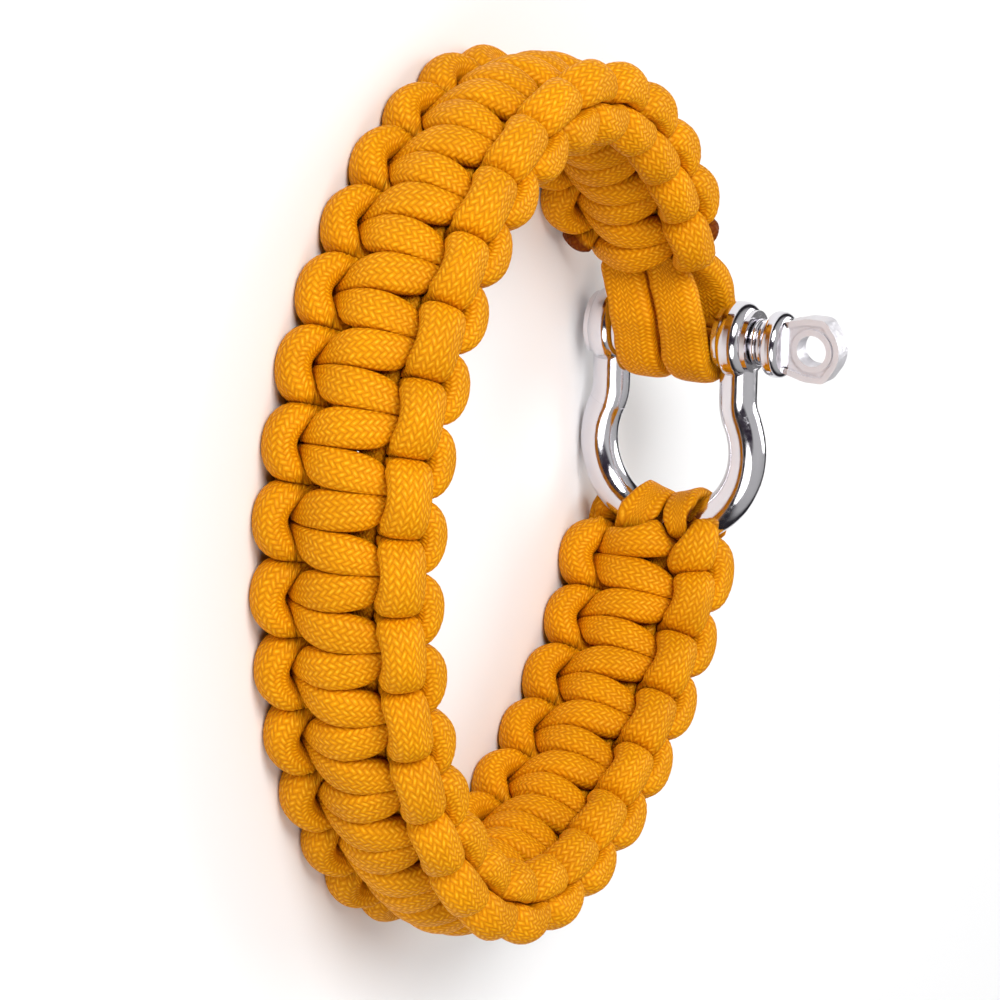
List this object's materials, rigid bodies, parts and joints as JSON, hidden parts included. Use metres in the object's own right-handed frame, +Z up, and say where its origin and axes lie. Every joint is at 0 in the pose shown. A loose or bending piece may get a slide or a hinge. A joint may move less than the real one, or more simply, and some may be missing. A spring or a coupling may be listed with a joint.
{
  "type": "paracord bracelet",
  "caption": "Knotted cord bracelet, a closed oval band with a bow shackle whose screw pin, with collar and eye, stands up at one side.",
  "frame": {"origin": "centre of the outline, on the surface that the bracelet lies on", "axes": "+Z up, through the loop as the wrist goes and along the screw pin; +X towards the shackle; +Y from the shackle's bow towards its pin"},
  "size_m": [0.0844, 0.0973, 0.0329],
  "materials": {
    "cord": "braided nylon sheath",
    "shackle_steel": "polished cast steel"
  },
  "bodies": {
    "bracelet": {"front_weave_cord": "cord", "back_weave_cord": "cord", "core_cord": "cord", "shackle_bow": "shackle_steel"},
    "pin": {"shackle_pin": "shackle_steel"}
  },
  "joints": [
    {"name": "pin_slide", "type": "slide", "parent": "bracelet", "child": "pin", "axis": [0, 0, 1], "range_m": [0, 0.024]}
  ]
}
